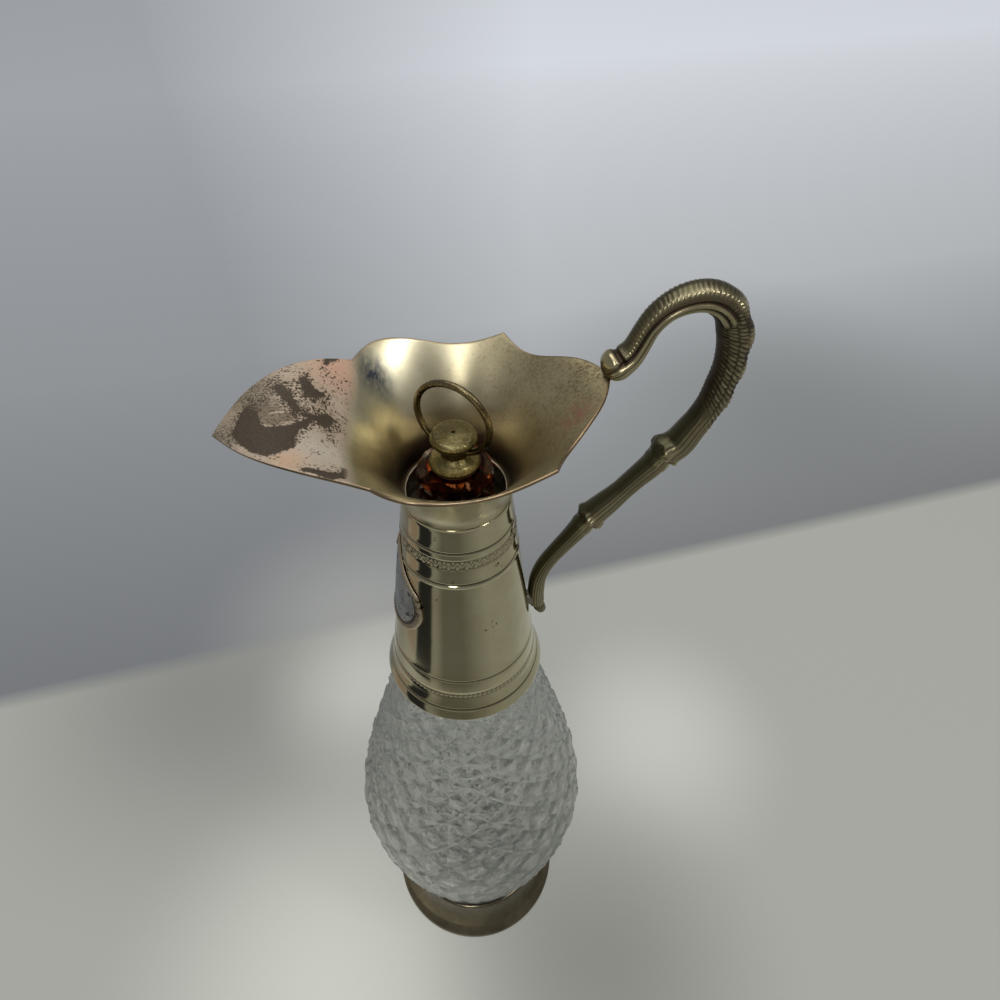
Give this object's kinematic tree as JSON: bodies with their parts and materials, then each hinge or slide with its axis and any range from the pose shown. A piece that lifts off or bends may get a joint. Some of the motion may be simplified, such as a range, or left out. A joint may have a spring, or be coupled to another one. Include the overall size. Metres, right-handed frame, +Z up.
{
  "type": "claret jug",
  "caption": "Tall cut glass claret jug with a plated collar, leaf-shaped pouring spout, cast loop handle and a lift-out stopper with a pull ring.",
  "frame": {"origin": "on the bottle's axis, at the bottom of the foot", "axes": "+Z up along the bottle's axis, +X from the bottle towards the handle, the spout's tip at -X"},
  "size_m": [0.1217, 0.0894, 0.3221],
  "materials": {
    "clear_glass": "clear pressed and cut glass",
    "foot_plate": "dark tarnished nickel plate, polished",
    "plaster": "matte setting plaster",
    "collar_plate": "polished silver plate, warm",
    "spout_plate": "satin silver plate, flaked on the spout",
    "plaque_metal": "pale tarnished silver plate",
    "solder": "soft solder",
    "handle_metal": "dark bronzed nickel casting",
    "amber_glass": "dark amber glass, faceted",
    "fibre": "pressed fibre",
    "brass": "dull turned brass",
    "cork": "natural cork",
    "ring_brass": "darkened brass wire"
  },
  "bodies": {
    "jug": {"glass_bottle": "clear_glass", "foot_ring": "foot_plate", "foot_plaster": "plaster", "collar_sleeve": "collar_plate", "collar_plaster": "plaster", "neck_ferrule": "collar_plate", "spout": "spout_plate", "plaque": "plaque_metal", "plaque_solder": "solder", "handle": "handle_metal", "upper_handle_solder": "solder", "lower_handle_solder": "solder"},
    "stopper": {"stopper_glass": "amber_glass", "knob_washer": "fibre", "stopper_knob": "brass", "stopper_cork": "cork", "end_washer": "brass", "end_nut": "brass", "stopper_stud": "brass"},
    "ring": {"pull_ring": "ring_brass"}
  },
  "joints": [
    {"name": "stopper_lift", "type": "slide", "parent": "jug", "child": "stopper", "axis": [0, 0, 1], "range_m": [0, 0.075]},
    {"name": "ring_swing", "type": "hinge", "parent": "stopper", "child": "ring", "pos_m": [0, 0, 0.2848], "axis": [0.766, -0.6428, 0], "range_deg": [-84, 84]}
  ]
}
